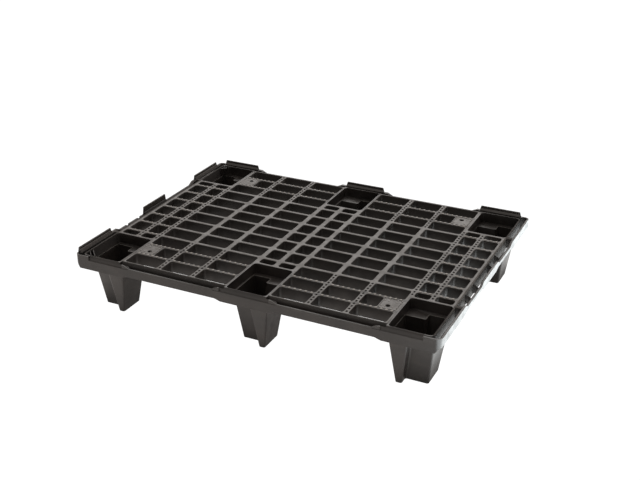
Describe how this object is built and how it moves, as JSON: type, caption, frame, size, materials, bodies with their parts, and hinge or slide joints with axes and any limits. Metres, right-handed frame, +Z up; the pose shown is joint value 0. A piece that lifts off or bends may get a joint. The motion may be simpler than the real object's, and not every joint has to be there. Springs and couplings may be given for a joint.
{
  "type": "plastic pallet",
  "caption": "Half-size nestable plastic pallet: an open ribbed deck with raised edge lips, a moulded outer rim, and hollow stepped feet that nest in pockets.",
  "frame": {"origin": "on the floor, under the middle of the pallet", "axes": "+X along the long side, +Y from the front long side to the back long side, which carries lips, +Z up"},
  "size_m": [0.8, 0.6, 0.138],
  "materials": {
    "black_plastic": "smooth moulded black recycled polyethylene, semi-matt",
    "textured_black_plastic": "moulded black recycled polyethylene with raised anti-slip pips and light scuffing on the tops of the ribs"
  },
  "bodies": {
    "root": {"deck_field_left": "textured_black_plastic", "deck_field_right": "textured_black_plastic", "deck_middle": "textured_black_plastic", "deck_side_left": "textured_black_plastic", "deck_side_right": "textured_black_plastic", "front_rim": "black_plastic", "back_rim": "black_plastic", "left_rim": "black_plastic", "right_rim": "black_plastic", "foot_front_left": "black_plastic", "foot_front_middle": "black_plastic", "foot_front_right": "black_plastic", "foot_back_left": "black_plastic", "foot_back_middle": "black_plastic", "foot_back_right": "black_plastic", "lip_left_front": "black_plastic", "lip_left_middle": "black_plastic", "lip_left_back": "black_plastic", "lip_back_left": "black_plastic", "lip_back_middle": "black_plastic", "lip_back_right": "black_plastic", "anchor_pad_front_left": "textured_black_plastic", "anchor_pad_front_right": "textured_black_plastic", "anchor_pad_back_left": "textured_black_plastic", "anchor_pad_back_right": "textured_black_plastic", "side_webs_left": "black_plastic", "side_webs_right": "black_plastic"}
  },
  "joints": []
}
